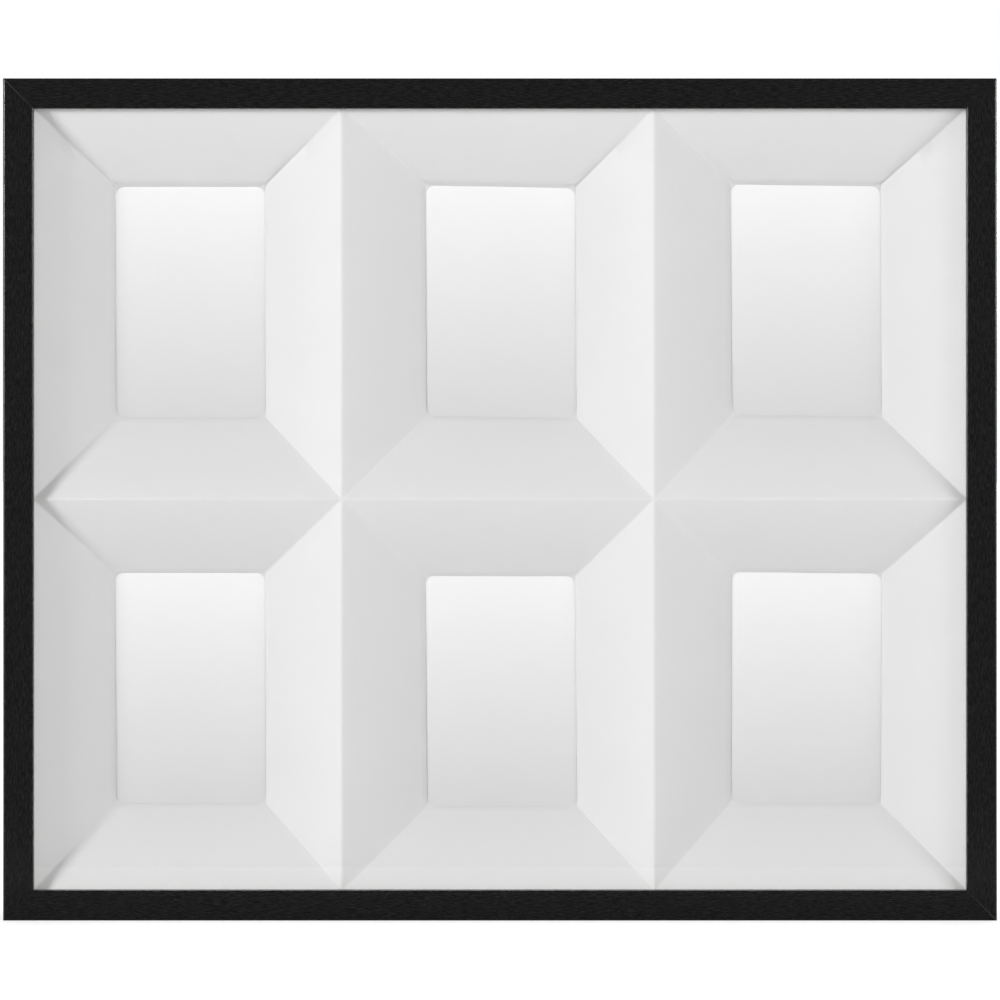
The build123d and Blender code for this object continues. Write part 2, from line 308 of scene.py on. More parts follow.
def stand_for(piece, slot, *nodes):
    """Lets a piece on the frame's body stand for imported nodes."""
    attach(piece, "frame")
    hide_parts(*nodes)


def spread(start, end, steps):
    """Evenly spaced values from start up to, but without, end."""
    return [start + (end - start) * i / steps for i in range(steps)]


def quarter_turn(steps=6):
    """Angles from level to upright."""
    return [pi / 2 * i / steps for i in range(steps + 1)]


def turned(bm, middle, profile, steps=40):
    """Revolves a profile of (radius, depth) round the line along Y through a middle."""
    rings = []
    for radius, depth in profile:
        turns = spread(0, 2 * pi, steps if radius else 1)
        ring = [bm.verts.new(middle + Vector((radius * cos(a), depth, radius * sin(a)))) for a in turns]
        rings.append(ring)
    for near, far in zip(rings, rings[1:]):
        for i in range(steps):
            if len(near) == 1:
                around = (near[0], far[i - 1], far[i])
            elif len(far) == 1:
                around = (near[i], near[i - 1], far[0])
            else:
                around = (near[i], near[i - 1], far[i - 1], far[i])
            bm.faces.new(around)


# Wood moulding wrapped in a printed and embossed black foil. The print gives near-black with paler
# fibres along the length, and the embossing breaks the satin shine into short streaks. Two mitres get
# a pale hair line, a painted highlight along their seams, and the back is bare wood beyond the folded
# edge of the foil.
def foiled_moulding(settings, along):
    """Foil with its grain along X (0) or Z (2)."""
    material, tree = blank_material(f"Wood-grain foil, grain along {'XYZ'[along]}")
    place = add_node(tree, "TexCoord")
    spot = add_node(tree, "SeparateXYZ", {"Vector": place.outputs["Object"]})
    stretch = [1 / settings.streak_width] * 3
    stretch[along] = 1 / settings.streak_length
    grain_space = add_node(tree, "Mapping", {"Vector": place.outputs["Object"], "Scale": stretch})
    grain = add_node(
        tree,
        "TexNoise",
        {"Vector": grain_space, "Scale": 1.0, "Detail": 3.0, "Roughness": 0.6, "Distortion": 0.5},
    )
    fibres = add_node(tree, "MapRange", {"Value": grain, "From Min": 0.42, "From Max": 0.62})
    foil = add_node(
        tree, "Mix", {"Factor": fibres, "A": settings.foil, "B": settings.streak}, data_type="RGBA"
    )
    ring_stretch = [1 / settings.ring_width] * 3
    ring_stretch[along] = 1 / settings.ring_length
    ring_space = add_node(tree, "Mapping", {"Vector": place.outputs["Object"], "Scale": ring_stretch})
    rings = add_node(tree, "TexNoise", {"Vector": ring_space, "Scale": 1.0, "Detail": 4.0})
    growth = add_node(tree, "MapRange", {"Value": rings, "From Min": 0.35, "From Max": 0.65})
    core = add_node(
        tree, "Mix", {"Factor": growth, "A": settings.core, "B": settings.core_grain}, data_type="RGBA"
    )

    out_x = add_node(tree, "Math", {0: spot.outputs["X"]}, operation="ABSOLUTE")
    rise = add_node(tree, "Math", {0: spot.outputs["Z"], 1: MID_HEIGHT}, operation="SUBTRACT")
    out_z = add_node(tree, "Math", {0: rise}, operation="ABSOLUTE")
    inset_x = add_node(tree, "Math", {0: HALF_WIDTH, 1: out_x}, operation="SUBTRACT")
    inset_z = add_node(tree, "Math", {0: HALF_HEIGHT, 1: out_z}, operation="SUBTRACT")
    inset = add_node(tree, "Math", {0: inset_x, 1: inset_z}, operation="MINIMUM")

    facing = add_node(tree, "SeparateXYZ", {"Vector": place.outputs["Normal"]})
    turned_back = 0.5  # Y share of a normal from which a face counts as the back
    back = add_node(tree, "Math", {0: facing.outputs["Y"], 1: turned_back}, operation="GREATER_THAN")
    beyond = add_node(tree, "Math", {0: inset, 1: settings.wrap}, operation="GREATER_THAN")
    bare = add_node(tree, "Math", {0: back, 1: beyond}, operation="MULTIPLY")
    skin = add_node(tree, "Mix", {"Factor": bare, "A": foil, "B": core}, data_type="RGBA")

    # Painted highlight: a pale line along the upper left and lower right mitres, strongest at the outer
    # corner.
    off_mitre = add_node(tree, "Math", {0: inset_x, 1: inset_z}, operation="SUBTRACT")
    away = add_node(tree, "Math", {0: off_mitre}, operation="ABSOLUTE")
    line = add_node(
        tree, "MapRange", {"Value": away, "From Max": settings.seam_width, "To Min": 1.0, "To Max": 0.0}
    )
    outward = add_node(
        tree, "MapRange", {"Value": inset, "From Max": RAIL_FACE, "To Min": 0.9, "To Max": 0.25}
    )
    corner = add_node(tree, "Math", {0: spot.outputs["X"], 1: rise}, operation="MULTIPLY")
    highlit_mitres = add_node(tree, "Math", {0: corner, 1: 0.0}, operation="LESS_THAN")
    showing = add_node(tree, "Math", {0: line, 1: outward}, operation="MULTIPLY")
    seam = add_node(tree, "Math", {0: showing, 1: highlit_mitres}, operation="MULTIPLY")
    surface = add_node(tree, "Mix", {"Factor": seam, "A": skin, "B": settings.seam}, data_type="RGBA")

    gloss = add_node(tree, "MapRange", {"Value": grain, "To Min": 0.2, "To Max": 0.34})
    roughness = add_node(tree, "Mix", {"Factor": bare, "A": gloss, "B": 0.8})
    emboss = add_node(tree, "Bump", {"Height": grain, "Strength": 0.5, "Distance": 0.06 * MM})
    shader = add_node(
        tree,
        "BsdfPrincipled",
        {"Base Color": surface, "Roughness": roughness, "IOR": 1.46, "Normal": emboss},
    )
    add_node(tree, "OutputMaterial", {"Surface": shader})
    return material


# Drawn sheet glass, 2 mm. It shows what lies behind it and a faint mirror image of the room. Light
# on its way to the mat goes straight through: what the glass holds back, it also throws back.
def sheet_glass():
    """Clear glass of the front pane."""
    material, tree = blank_material("Sheet glass, drawn and polished")
    place = add_node(tree, "TexCoord")
    ripple_size = 90 * MM
    ripple = add_node(tree, "TexNoise", {"Vector": place.outputs["Object"], "Scale": 1 / ripple_size})
    drawn = add_node(tree, "Bump", {"Height": ripple, "Strength": 0.3, "Distance": 0.02 * MM})
    glass = add_node(
        tree,
        "BsdfPrincipled",
        {
            "Base Color": WHITE,
            "Roughness": 0.0,
            "IOR": 1.52,
            "Transmission Weight": 1.0,
            "Normal": drawn,
        },
    )
    passing = add_node(tree, "BsdfTransparent")
    rays = add_node(tree, "LightPath")
    scattered = add_node(
        tree,
        "Math",
        {0: rays.outputs["Is Diffuse Ray"], 1: rays.outputs["Is Glossy Ray"]},
        operation="MAXIMUM",
    )
    unseen = add_node(
        tree, "Math", {0: rays.outputs["Is Shadow Ray"], 1: scattered}, operation="MAXIMUM"
    )
    shader = add_node(tree, "MixShader", {0: unseen, 1: glass, 2: passing})
    add_node(tree, "OutputMaterial", {"Surface": shader})
    return material


# High-impact polystyrene sheet, drawn hot over a mould. It is a soft white with a low shine, a faint
# cloudiness and the fine skin that the warm sheet keeps. Its colour is painted greyer the deeper it
# lies, as painted shade in the depths of the wells.
def formed_styrene(settings):
    """White formed sheet of the mat."""
    cloud_size, skin_size = 35 * MM, 2.5 * MM
    material, tree = blank_material("High-impact polystyrene, vacuum-formed")
    place = add_node(tree, "TexCoord")
    clouds = add_node(
        tree, "TexNoise", {"Vector": place.outputs["Object"], "Scale": 1 / cloud_size, "Detail": 2.0}
    )
    spot = add_node(tree, "SeparateXYZ", {"Vector": place.outputs["Object"]})
    deep_shade_share = 0.85  # share of the painted shade's colour at the windows, to which the clouds add
    # Painted shade: the share of the darker colour grows with depth, from the ridges to the windows.
    drawn = add_node(
        tree,
        "MapRange",
        {"Value": spot.outputs["Y"], "From Min": MAT_LOW.y, "From Max": MAT_HIGH.y, "To Max": deep_shade_share},
    )
    cloudiness = 1 - deep_shade_share
    clouds_and_deep_shade = add_node(tree, "Math", {0: clouds, 1: cloudiness, 2: drawn}, operation="MULTIPLY_ADD")
    white = add_node(
        tree, "Mix", {"Factor": clouds_and_deep_shade, "A": settings.sheet, "B": settings.deep_shade}, data_type="RGBA"
    )
    gloss = add_node(tree, "MapRange", {"Value": clouds, "To Min": 0.56, "To Max": 0.66})
    skin = add_node(tree, "TexNoise", {"Vector": place.outputs["Object"], "Scale": 1 / skin_size})
    peel = add_node(tree, "Bump", {"Height": skin, "Strength": 0.2, "Distance": 0.02 * MM})
    shader = add_node(
        tree,
        "BsdfPrincipled",
        {"Base Color": white, "Roughness": gloss, "IOR": 1.59, "Normal": peel},
    )
    add_node(tree, "OutputMaterial", {"Surface": shader})
    return material


# Coated paper, printed with an even shade that falls from near white at its head to pale grey. The
# coating gives it a low sheen, and the pulp shows as a faint grain, drawn coarser than it is so that
# it shows.
def shaded_paper(settings):
    """Blank insert of a window."""
    material, tree = blank_material("Coated paper, printed with a grey shade")
    place = add_node(tree, "TexCoord")
    own = add_node(tree, "SeparateXYZ", {"Vector": place.outputs["Generated"]})
    shade = add_node(
        tree,
        "Mix",
        {"Factor": own.outputs["Z"], "A": settings.bottom, "B": settings.top},
        data_type="RGBA",
    )
    pulp_size = 1.2 * MM
    pulp = add_node(tree, "TexNoise", {"Vector": place.outputs["Object"], "Scale": 1 / pulp_size})
    gloss = add_node(tree, "MapRange", {"Value": pulp, "To Min": 0.5, "To Max": 0.62})
    tooth = add_node(tree, "Bump", {"Height": pulp, "Strength": 0.1, "Distance": 0.01 * MM})
    shader = add_node(
        tree, "BsdfPrincipled", {"Base Color": shade, "Roughness": gloss, "IOR": 1.5, "Normal": tooth}
    )
    add_node(tree, "OutputMaterial", {"Surface": shader})
    return material


# Pressed wood pulp, as hardboard or grey card. Fibres lie flat every way in the surface, so it is
# matt, with a fine fleck of darker fibres and soft clouds where the pulp settled. The fleck is drawn
# coarser than it is, so that it shows.
def pressed_pulp(name, ground, fibre, fibre_size):
    """Board or card with flecks of a fibre's size."""
    material, tree = blank_material(name)
    place = add_node(tree, "TexCoord")
    flecks = add_node(
        tree,
        "TexNoise",
        {"Vector": place.outputs["Object"], "Scale": 1 / fibre_size, "Detail": 5.0, "Distortion": 1.2},
    )
    cloud_size = 40 * MM
    clouds = add_node(tree, "TexNoise", {"Vector": place.outputs["Object"], "Scale": 1 / cloud_size})
    dark = add_node(tree, "MapRange", {"Value": flecks, "From Min": 0.42, "From Max": 0.75})
    cloudy = add_node(tree, "Math", {0: dark, 1: clouds}, operation="MULTIPLY")
    pulp = add_node(tree, "Mix", {"Factor": cloudy, "A": ground, "B": fibre}, data_type="RGBA")
    gloss = add_node(tree, "MapRange", {"Value": flecks, "To Min": 0.6, "To Max": 0.85})
    nap = add_node(tree, "Bump", {"Height": flecks, "Strength": 0.4, "Distance": 0.06 * MM})
    shader = add_node(
        tree, "BsdfPrincipled", {"Base Color": pulp, "Roughness": gloss, "IOR": 1.5, "Normal": nap}
    )
    add_node(tree, "OutputMaterial", {"Surface": shader})
    return material


# Steel strip and wire, pressed or drawn, bare or zinc-plated. Handling in bulk leaves soft patches
# in the shine, and the rolling shows as fine scratches, drawn coarser than they are so that they show.
def worked_steel(name, tint, low, high):
    """Steel whose roughness varies between two values."""
    patch_size, scratch_size = 3 * MM, 0.4 * MM
    material, tree = blank_material(name)
    place = add_node(tree, "TexCoord")
    patches = add_node(
        tree, "TexNoise", {"Vector": place.outputs["Object"], "Scale": 1 / patch_size, "Detail": 3.0}
    )
    dulling = 0.82
    dull = [dulling * part for part in tint[:3]] + [1.0]
    metal = add_node(tree, "Mix", {"Factor": patches, "A": tint, "B": dull}, data_type="RGBA")
    gloss = add_node(tree, "MapRange", {"Value": patches, "To Min": low, "To Max": high})
    scratches = add_node(
        tree, "TexNoise", {"Vector": place.outputs["Object"], "Scale": 1 / scratch_size}
    )
    rolled = add_node(tree, "Bump", {"Height": scratches, "Strength": 0.15, "Distance": 0.02 * MM})
    shader = add_node(
        tree,
        "BsdfPrincipled",
        {"Base Color": metal, "Metallic": 1.0, "Roughness": gloss, "Normal": rolled},
    )
    add_node(tree, "OutputMaterial", {"Surface": shader})
    return material


# Moulded rubber. It is matt and nearly black, with a fine dusty grain, drawn coarser than it is so
# that it shows.
def moulded_rubber(settings):
    """Dark rubber of the wall bumpers."""
    material, tree = blank_material("Rubber, moulded")
    place = add_node(tree, "TexCoord")
    grit, paling = 0.7 * MM, 2.2
    dust = add_node(tree, "TexNoise", {"Vector": place.outputs["Object"], "Scale": 1 / grit})
    dusty = [min(1.0, paling * part) for part in settings.rubber[:3]] + [1.0]
    dark = add_node(tree, "Mix", {"Factor": dust, "A": settings.rubber, "B": dusty}, data_type="RGBA")
    gloss = add_node(tree, "MapRange", {"Value": dust, "To Min": 0.65, "To Max": 0.9})
    grain = add_node(tree, "Bump", {"Height": dust, "Strength": 0.3, "Distance": 0.05 * MM})
    shader = add_node(
        tree, "BsdfPrincipled", {"Base Color": dark, "Roughness": gloss, "IOR": 1.52, "Normal": grain}
    )
    add_node(tree, "OutputMaterial", {"Surface": shader})
    return material


# Matt painted floor. Seen directly or through glass it is lifted towards white, fully so away from
# the frame, and so it is for the metal behind the frame. The frame's shadow stays on it. In front of
# the frame only one strip of it is mirrored, as a faint band along the foot of the glass, so that the
# moulding's satin foil stays dark.
def painted_floor(settings):
    """Pale floor that fades to white."""
    fade_from, fade_to = 0.1, 0.6  # metres from the frame
    mottle_size = 60 * MM
    material, tree = blank_material("Floor, matt paint")
    place = add_node(tree, "TexCoord")
    spot = add_node(tree, "SeparateXYZ", {"Vector": place.outputs["Object"]})
    out = add_node(tree, "Math", {0: spot.outputs["Y"]}, operation="ABSOLUTE")
    lift = add_node(
        tree,
        "MapRange",
        {"Value": out, "From Min": fade_from, "From Max": fade_to, "To Min": settings.lift},
    )
    rays = add_node(tree, "LightPath")
    direct = add_node(
        tree,
        "Math",
        {0: rays.outputs["Is Camera Ray"], 1: rays.outputs["Is Transmission Ray"]},
        operation="MAXIMUM",
    )
    behind = add_node(tree, "Math", {0: spot.outputs["Y"], 1: 0.0}, operation="GREATER_THAN")
    mirrored = add_node(
        tree, "Math", {0: rays.outputs["Is Glossy Ray"], 1: behind}, operation="MULTIPLY"
    )
    seen = add_node(tree, "Math", {0: direct, 1: mirrored}, operation="MAXIMUM")
    glow = add_node(tree, "Math", {0: lift, 1: seen}, operation="MULTIPLY")
    mottle = add_node(tree, "TexNoise", {"Vector": place.outputs["Object"], "Scale": 1 / mottle_size})
    gloss = add_node(tree, "MapRange", {"Value": mottle, "To Min": 0.85, "To Max": 0.95})
    shader = add_node(
        tree,
        "BsdfPrincipled",
        {
            "Base Color": settings.floor,
            "Roughness": gloss,
            "IOR": 1.4,
            "Emission Color": WHITE,
            "Emission Strength": glow,
        },
    )
    ahead = add_node(tree, "Math", {0: spot.outputs["Y"], 1: 0.0}, operation="LESS_THAN")
    strip = (settings.mirrored_to - settings.mirrored_from) / 2
    shown = add_node(
        tree,
        "Math",
        {0: spot.outputs["Y"], 1: FRONT - settings.mirrored_from - strip, 2: strip},
        operation="COMPARE",
    )
    hidden = add_node(tree, "Math", {0: ahead, 1: shown}, operation="SUBTRACT")
    unseen = add_node(
        tree, "Math", {0: rays.outputs["Is Glossy Ray"], 1: hidden}, operation="MULTIPLY"
    )
    passing = add_node(tree, "BsdfTransparent")
    paint = add_node(tree, "MixShader", {0: unseen, 1: shader, 2: passing})
    add_node(tree, "OutputMaterial", {"Surface": paint})
    return material


# Points round each ring of a well: along a side and round a corner
SIDE_STEPS, CORNER_STEPS = 18, 6
# Rings of a well: over the turn of its ridge and down its slope, then shares of the way over its lip
RIDGE_RINGS, SLOPE_RINGS = 8, 14
LIP_SHARES = (0.12, 0.5, 1)
LIP_FULLNESS = 0.8  # power that rounds the lip: 1 would be a straight bevel
# Sizes of the soft waves in the slopes, and of the waver of a window's edge across and up
WAVE_SIZE, WAVER_SIZES = 55 * MM, (28 * MM, 23 * MM)
WELD = 0.01 * MM  # points nearer than this become one


def rounded_rectangle(low, high, radius):
    """Points round a rectangle with round corners, as many for every size, from the upper right."""
    arcs = []
    corners = ((high.x, high.y), (low.x, high.y), (low.x, low.y), (high.x, low.y))
    for number, (across, up) in enumerate(corners):
        middle = Vector((min(max(across, low.x + radius), high.x - radius), 0))
        middle.y = min(max(up, low.y + radius), high.y - radius)
        turns = [pi / 2 * (number + step / CORNER_STEPS) for step in range(CORNER_STEPS + 1)]
        arcs.append([middle + radius * Vector((cos(turn), sin(turn))) for turn in turns])
    points = []
    for arc, after in zip(arcs, arcs[1:] + arcs[:1]):
        points += arc + [arc[-1].lerp(after[0], i / SIDE_STEPS) for i in range(1, SIDE_STEPS)]
    return points


def upper_shares():
    """How far each point of a rounded rectangle belongs to its upper side, from 0 to 1."""
    rise = [step / CORNER_STEPS for step in range(CORNER_STEPS + 1)]
    upper = rise + [1.0] * (SIDE_STEPS - 1) + rise[::-1]
    return upper + [0.0] * (4 * (SIDE_STEPS + CORNER_STEPS) - len(upper))


class Well:
    """One well of the mat, as rings from the ridges round it down to its window."""

    def __init__(self, settings, name):
        self.settings = settings
        row, column = name.split("_")[-2:]
        x_lines = [-SIGHT_HALF_WIDTH - settings.tuck, SIGHT_HALF_WIDTH + settings.tuck]
        x_lines[1:1] = [sign * SIGHT_HALF_WIDTH / 3 + drift for sign, drift in zip((-1, 1), RIDGE_DRIFT)]
        reach = SIGHT_HALF_HEIGHT + settings.tuck
        z_lines = [MID_HEIGHT - reach, MID_HEIGHT, MID_HEIGHT + reach]
        i, j = ("left", "middle", "right").index(column), ("lower", "upper").index(row)
        self.outer = Vector((x_lines[i], z_lines[j])), Vector((x_lines[i + 1], z_lines[j + 1]))
        low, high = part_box(name)
        across, up, self.fall_right, self.lean_left = TRIM[f"{row}_{column}"]
        self.middle = Vector(((low.x + high.x) / 2 + across * MM, (low.z + high.z) / 2 + up * MM))
        half = Vector((settings.window_width, settings.window_height)) / 2
        self.window = self.middle - half, self.middle + half
        lip = Vector((settings.lip, settings.lip))
        self.foot = self.window[0] - lip, self.window[1] + lip + Vector((0, settings.fold * j))
        self.run = (self.foot[0].x - self.outer[0].x + self.outer[1].x - self.foot[1].x) / 2
        self.depth = MAT_HIGH.y - MAT_LOW.y - settings.edge
        fold = settings.fold_depth * j
        self.foot_dips = [self.depth - settings.lip - fold * upper for upper in upper_shares()]

    def placed(self, start, end, share, radius, dips):
        """A ring between two outlines, at its depths, skewed the more the nearer it is to the window."""
        nearness = share if start is self.outer else 1
        lean, drop = (nearness * tan(radians(angle)) for angle in (self.lean_left, self.fall_right))
        skew = Matrix(((1, -lean), (-drop, 1)))
        ring = rounded_rectangle(start[0].lerp(end[0], share), start[1].lerp(end[1], share), radius)
        ring = [self.middle + skew @ (point - self.middle) for point in ring]
        return [Vector((x, MAT_LOW.y + dip, z)) for (x, z), dip in zip(ring, dips)]

    def fall(self, share):
        """How far down the slope has come at a share of its run, from 0 to 1."""
        start = self.settings.land / 2
        bend = self.settings.ridge
        past = share * self.run - start
        if abs(past) < bend:
            past = (past + bend) ** 2 / (4 * bend)
        return max(past, 0.0) / (self.run - start)

    def rings(self):
        """All rings, each with the share of the forming waves that it takes."""
        settings = self.settings
        turn = (settings.land / 2 + settings.ridge) / self.run
        for share in spread(0, turn, RIDGE_RINGS) + spread(turn, 1, SLOPE_RINGS) + [1]:
            corner = settings.crease * min(1.0, share / turn)
            dips = [self.fall(share) * dip for dip in self.foot_dips]
            yield self.placed(self.outer, self.foot, share, corner, dips), sin(pi * share)
        for share in LIP_SHARES:
            corner = settings.crease + (settings.window_corner - settings.crease) * share
            dips = [dip + (self.depth - dip) * share**LIP_FULLNESS for dip in self.foot_dips]
            yield self.placed(self.foot, self.window, share, corner, dips), 0.0


def mat_mesh(settings):
    """The formed sheet: wells with rounded ridges and creases, a flange round them, and one wall."""
    bm = bmesh.new()
    for name in PRINTS:
        rings = []
        for ring, swell in Well(settings, name).rings():
            for spot in ring:
                spot.y += settings.wave * swell * noise.noise(spot / WAVE_SIZE)
            rings.append([bm.verts.new(spot) for spot in ring])
        for vert in rings[-1]:
            vert.co.x += settings.waver * noise.noise(vert.co / WAVER_SIZES[0])
            vert.co.z += settings.waver * noise.noise(vert.co / WAVER_SIZES[1])
        for outer, inner in zip(rings, rings[1:]):
            for i in range(len(outer)):
                bm.faces.new((outer[i - 1], outer[i], inner[i], inner[i - 1]))
    bmesh.ops.remove_doubles(bm, verts=bm.verts, dist=WELD)
    bmesh.ops.dissolve_degenerate(bm, edges=bm.edges, dist=WELD)
    add_flange(bm, settings.tuck)
    bm.normal_update()
    bmesh.ops.solidify(bm, geom=bm.faces[:], thickness=settings.thickness)
    for vert in bm.verts:
        vert.co.y = min(vert.co.y, MAT_HIGH.y - WELD)  # just clear of the prints
    # Solidify adds the faces of the sheet's edges in no fixed order, so they are put in one.
    bm.verts.index_update()
    bm.faces.sort(key=lambda face: sum(vert.index**2 for vert in face.verts))
    return bm


def add_flange(bm, tuck):
    """Carries the sheet's front on to its edge under the moulding."""
    near_front = MAT_LOW.y + 0.1 * MM
    rim = [e for e in bm.edges if e.is_boundary and all(v.co.y < near_front for v in e.verts)]
    wider = MAT_HIGH.x / (SIGHT_HALF_WIDTH + tuck)
    taller = (MAT_HIGH.z - MID_HEIGHT) / (SIGHT_HALF_HEIGHT + tuck)
    grown = {}
    for vert in (vert for edge in rim for vert in edge.verts):
        if vert not in grown:
            x, y, z = vert.co
            grown[vert] = bm.verts.new((x * wider, y, MID_HEIGHT + (z - MID_HEIGHT) * taller))
    for edge in rim:
        loop = edge.link_loops[0]
        start, end = loop.vert, loop.link_loop_next.vert
        bm.faces.new((end, start, grown[start], grown[end]))


# Heads of screws and nails: the share of the height below the crown, and how full the crown is, where
# 1 is an ellipse and less is flatter
HEAD_EDGE, CROWN_FULLNESS = 0.45, 0.7
POINT = 2 * MM  # length of a screw's or nail's point
BUTTON_STACK = 1.1 * MM  # a turn button's thickness and its play under the screw's head
NAIL_HEAD_HEIGHT = 0.7 * MM

# Cross recesses: depth, the share of its length that a slot has at its foot and where its cutter ends
# above the head, how far above that is, and the turn in radians from one screw to the next
RECESS_DEPTH = 1.2 * MM
RECESS_FOOT, RECESS_MOUTH = 0.45, 1.1
RECESS_ABOVE = 0.2 * MM
DRIVER_TURN = 2.4


def pan_head(radius, start, height):
    """Profile of a low domed head that starts at a depth."""
    dome = [
        (radius * cos(a) ** CROWN_FULLNESS, start + height * (HEAD_EDGE + (1 - HEAD_EDGE) * sin(a)))
        for a in quarter_turn()
    ]
    return [(radius, start), *dome[:-1], (0, start + height)]


def pointed_shank(radius, tip, seat):
    """Profile of a round shank from its point up to the seat of its head."""
    return [(0, tip), (radius, tip + POINT), (radius, seat)]


def cross_cutters(settings, depth):
    """One tapered cross for each screw, each turned as the driver happened to leave it."""
    bm = bmesh.new()
    reach, half = settings.recess / 2, settings.recess_width / 2
    steps = (RECESS_FOOT, depth - RECESS_DEPTH), (RECESS_MOUTH, depth + RECESS_ABOVE)
    signs = ((1, 1), (-1, 1), (-1, -1), (1, -1))
    for number, pivot in enumerate(PIVOTS):
        turn = number * DRIVER_TURN
        for quarter in (turn, turn + pi / 2):
            along = Vector((cos(quarter), 0, sin(quarter)))
            across = Vector((-sin(quarter), 0, cos(quarter)))
            ends = []
            for part, y in steps:
                middle = Vector((pivot.x, y, pivot.z))
                spots = [middle + a * (part * reach) * along + b * half * across for a, b in signs]
                ends.append([bm.verts.new(spot) for spot in spots])
            low, high = ends
            bm.faces.new(low)
            bm.faces.new(high[::-1])
            for i in range(4):
                bm.faces.new((low[i], low[i - 1], high[i - 1], high[i]))
    bmesh.ops.recalc_face_normals(bm, faces=bm.faces[:])
    return link_mesh(bm, "cross_cutters")


def cut(piece, cutter):
    """Takes the cutter's shape out of a piece, then does away with the cutter."""
    saw = piece.modifiers.new("cross recess", "BOOLEAN")
    saw.object = cutter
    saw.use_self = True
    sawn = bpy.data.meshes.new_from_object(piece.evaluated_get(bpy.context.evaluated_depsgraph_get()))
    piece.modifiers.clear()
    piece.data = sawn
    smooth(sawn)
    bpy.data.objects.remove(cutter)


class COLLAGE_OT_moulding(Operator):
    """Wraps the four mouldings in grained foil"""

    bl_idname = "collage_frame.moulding"
    bl_label = "Moulding"

    def execute(self, context):
        settings = context.scene.collage_frame.moulding
        dress(foiled_moulding(settings, 0), *packed(RAILS))
        dress(foiled_moulding(settings, 2), *packed(STILES))
        return {"FINISHED"}


class COLLAGE_OT_glazing(Operator):
    """Makes the front pane clear glass"""

    bl_idname = "collage_frame.glazing"
    bl_label = "Glazing"

    def execute(self, context):
        dress(sheet_glass(), *packed(["front_glazing"]))
        return {"FINISHED"}


class COLLAGE_OT_mat(Operator):
    """Forms the white mat with its wells and windows"""

    bl_idname = "collage_frame.mat"
    bl_label = "Formed mat"

    def execute(self, context):
        settings = context.scene.collage_frame.mat
        mat = link_mesh(mat_mesh(settings), "vacuum_formed_mat")
        dress(formed_styrene(settings), mat)
        stand_for(mat, "white_sheet", "formed_mat")
        return {"FINISHED"}


class COLLAGE_OT_inserts(Operator):
    """Shades the papers in the windows"""

    bl_idname = "collage_frame.inserts"
    bl_label = "Inserts"

    def execute(self, context):
        dress(shaded_paper(context.scene.collage_frame.insert), *packed(PRINTS))
        return {"FINISHED"}


class COLLAGE_OT_backing(Operator):
    """Makes the filler card grey pulp and the back board hardboard"""

    bl_idname = "collage_frame.backing"
    bl_label = "Filler card and back board"

    def execute(self, context):
        settings = context.scene.collage_frame.back
        board = pressed_pulp("Hardboard, pressed", settings.board, settings.board_fibre, 1.6 * MM)
        card = pressed_pulp("Grey pulp card, rolled", settings.card, settings.card_fibre, 0.9 * MM)
        dress(board, *packed(["back_board"]))
        dress(card, *packed(["filler_card"]))
        return {"FINISHED"}


class COLLAGE_OT_steel(Operator):
    """Plates the turn buttons and hangers, and leaves the V-nails bare"""

    bl_idname = "collage_frame.steel"
    bl_label = "Turn buttons, hangers and V-nails"

    def execute(self, context):
        settings = context.scene.collage_frame.fitting
        plated = worked_steel("Steel strip, pressed and zinc-plated", settings.zinc, 0.26, 0.42)
        bare = worked_steel("Spring steel strip, rolled", settings.spring_steel, 0.35, 0.55)
        dress(plated, *packed([*BUTTONS, *HANGERS]))
        dress(bare, *packed(["corner_v_nails"]))
        return {"FINISHED"}


class COLLAGE_OT_screws(Operator):
    """Turns the pan-head screws of the turn buttons"""

    bl_idname = "collage_frame.screws"
    bl_label = "Turn button screws"

    def execute(self, context):
        settings = context.scene.collage_frame.fitting
        low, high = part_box("turn_button_screws")
        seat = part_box(BUTTONS[0])[0].y + BUTTON_STACK
        shank = pointed_shank(settings.screw_shank, low.y, seat)
        head = pan_head(settings.screw_head, seat, high.y - seat)
        bm = bmesh.new()
        for pivot in PIVOTS:
            turned(bm, Vector((pivot.x, 0, pivot.z)), shank + head)
        screws = link_mesh(bm, "pan_head_screws")
        cut(screws, cross_cutters(settings, high.y))
        dress(worked_steel("Steel wire, headed and zinc-plated", settings.zinc, 0.22, 0.36), screws)
        stand_for(screws, "plated_steel", "turn_button_screws")
        return {"FINISHED"}


class COLLAGE_OT_nails(Operator):
    """Drives the nails of the hangers"""

    bl_idname = "collage_frame.nails"
    bl_label = "Hanger nails"

    def execute(self, context):
        settings = context.scene.collage_frame.fitting
        low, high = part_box("hanger_nails")
        seat = high.y - NAIL_HEAD_HEIGHT
        shank = pointed_shank(settings.nail_shank, low.y, seat)
        head = pan_head(settings.nail_head, seat, high.y - seat)
        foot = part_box("hanger_nails")[0].x + settings.nail_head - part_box(HANGERS[0])[0].x
        bm = bmesh.new()
        for name in HANGERS:
            hanger_low, hanger_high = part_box(name)
            for x in (hanger_low.x + foot, hanger_high.x - foot):
                middle = Vector((x, 0, (hanger_low.z + hanger_high.z) / 2))
                turned(bm, middle, shank + head)
        nails = link_mesh(bm, "domed_hanger_nails")
        dress(worked_steel("Steel wire, domed and zinc-plated", settings.zinc, 0.22, 0.36), nails)
        stand_for(nails, "plated_steel", "hanger_nails")
        return {"FINISHED"}


